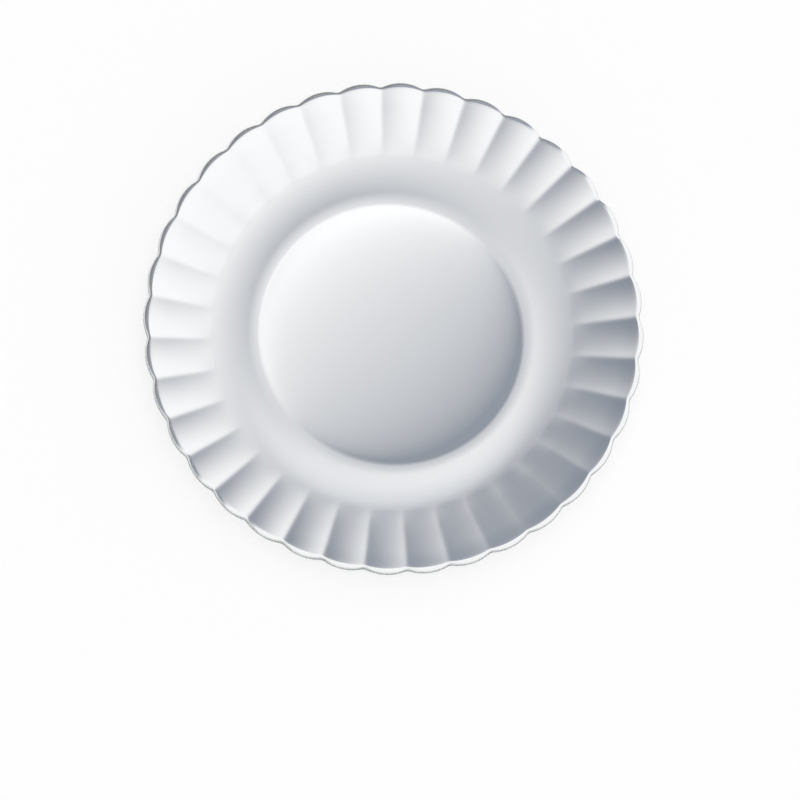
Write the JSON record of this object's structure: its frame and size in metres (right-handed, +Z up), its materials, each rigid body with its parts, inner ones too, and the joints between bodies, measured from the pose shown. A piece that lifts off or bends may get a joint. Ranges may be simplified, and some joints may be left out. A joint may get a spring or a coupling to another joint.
{
  "type": "dessert plate",
  "caption": "Round clear pressed-glass dessert plate: flat well, coved wall with radial flutes that end in a scalloped edge, and a foot ring underneath.",
  "frame": {"origin": "centre of the circle that the foot ring rests on", "axes": "+Z up along the plate's axis, out of the well; +X through the crest of one scallop"},
  "size_m": [0.19, 0.19, 0.0166],
  "materials": {
    "clear_glass": "clear, smooth and polished, with a faint grey-green tint at the edge"
  },
  "bodies": {
    "root": {"plate": "clear_glass"}
  },
  "joints": []
}
